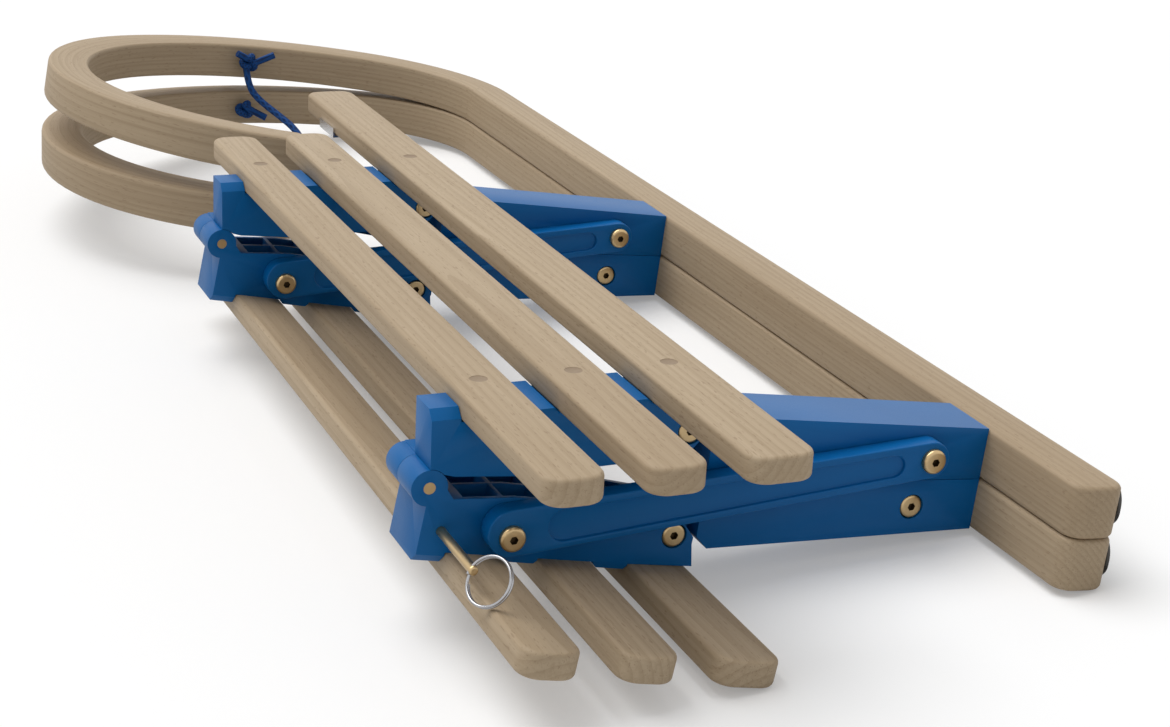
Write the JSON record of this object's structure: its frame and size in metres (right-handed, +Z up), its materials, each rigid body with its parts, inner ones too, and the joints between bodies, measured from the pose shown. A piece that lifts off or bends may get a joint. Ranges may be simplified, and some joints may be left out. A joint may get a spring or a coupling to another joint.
{
  "type": "folding wooden sled",
  "caption": "Folding wooden sled lying folded: bent runners with curled horns, slatted seat halves on moulded hinge brackets, crossed arms and a tow cord.",
  "frame": {"origin": "on the floor under the middle of the folded sled, as it rests", "axes": "+Z up, +Y along the sled towards the horns, +X towards the runners"},
  "size_m": [0.422, 1.132, 0.1362],
  "materials": {
    "slat_wood": "satin lacquer",
    "bent_wood": "satin lacquer",
    "blue_plastic": "moulded",
    "dark_steel": "rolled strip",
    "gold_steel": "yellow zinc plating",
    "bright_ring": "nickel plating",
    "blue_cord": "braided"
  },
  "bodies": {
    "leg_left": {"brace_stud_right_front": "gold_steel", "brace_stud_right_rear": "gold_steel", "knot_left": "blue_cord", "leg_left_front": "blue_plastic", "leg_left_rear": "blue_plastic", "runner_left": "bent_wood", "runner_shoe_left": "dark_steel"},
    "seat_left": {"arm_bolt_left_front": "gold_steel", "arm_bolt_left_rear": "gold_steel", "hinge_pin_front": "gold_steel", "hinge_pin_rear": "gold_steel", "hip_bolt_left_front": "gold_steel", "hip_bolt_left_rear": "gold_steel", "lock_pin": "gold_steel", "seat_bracket_left_front": "blue_plastic", "seat_bracket_left_rear": "blue_plastic", "slat_left_inner": "slat_wood", "slat_left_middle": "slat_wood", "slat_left_outer": "slat_wood", "slat_plate_left": "dark_steel", "split_ring": "bright_ring"},
    "seat_right": {"arm_bolt_right_front": "gold_steel", "arm_bolt_right_rear": "gold_steel", "hip_bolt_right_front": "gold_steel", "hip_bolt_right_rear": "gold_steel", "seat_bracket_right_front": "blue_plastic", "seat_bracket_right_rear": "blue_plastic", "slat_plate_right": "dark_steel", "slat_right_inner": "slat_wood", "slat_right_middle": "slat_wood", "slat_right_outer": "slat_wood"},
    "leg_right": {"brace_stud_left_front": "gold_steel", "brace_stud_left_rear": "gold_steel", "knot_right": "blue_cord", "leg_right_front": "blue_plastic", "leg_right_rear": "blue_plastic", "runner_right": "bent_wood", "runner_shoe_right": "dark_steel", "tow_cord": "blue_cord", "tow_cord_coil": "blue_cord"},
    "arms_left": {"arm_left_front": "blue_plastic", "arm_left_rear": "blue_plastic", "brace_head_left_front": "gold_steel", "brace_head_left_rear": "gold_steel"},
    "arms_right": {"arm_right_front": "blue_plastic", "arm_right_rear": "blue_plastic", "brace_head_right_front": "gold_steel", "brace_head_right_rear": "gold_steel"}
  },
  "joints": [
    {"name": "hip_left", "type": "hinge", "parent": "leg_left", "child": "seat_left", "pos_m": [-0.01395, 0, 0.03373], "axis": [0, 1, 0], "range_deg": [0, 76.19]},
    {"name": "centre_fold", "type": "hinge", "parent": "seat_left", "child": "seat_right", "pos_m": [-0.14868, 0, 0.08495], "axis": [0, -1, 0], "range_deg": [0, 169.4]},
    {"name": "hip_right", "type": "hinge", "parent": "seat_right", "child": "leg_right", "pos_m": [-0.00472, 0, 0.09212], "axis": [0, 1, 0], "range_deg": [0, 76.19]},
    {"name": "arm_left", "type": "hinge", "parent": "seat_left", "child": "arms_left", "pos_m": [-0.10975, 0, 0.05543], "axis": [0, -1, 0], "range_deg": [0, 128.71]},
    {"name": "arm_right", "type": "hinge", "parent": "seat_right", "child": "arms_right", "pos_m": [-0.10255, 0, 0.10102], "axis": [0, 1, 0], "range_deg": [0, 128.71]}
  ],
  "couplings": [
    {"joint": "hip_left", "follows": "centre_fold", "ratio": 0.44964},
    {"joint": "hip_right", "follows": "centre_fold", "ratio": 0.44964},
    {"joint": "arm_left", "follows": "centre_fold", "ratio": 0.75966},
    {"joint": "arm_right", "follows": "centre_fold", "ratio": 0.75966}
  ]
}
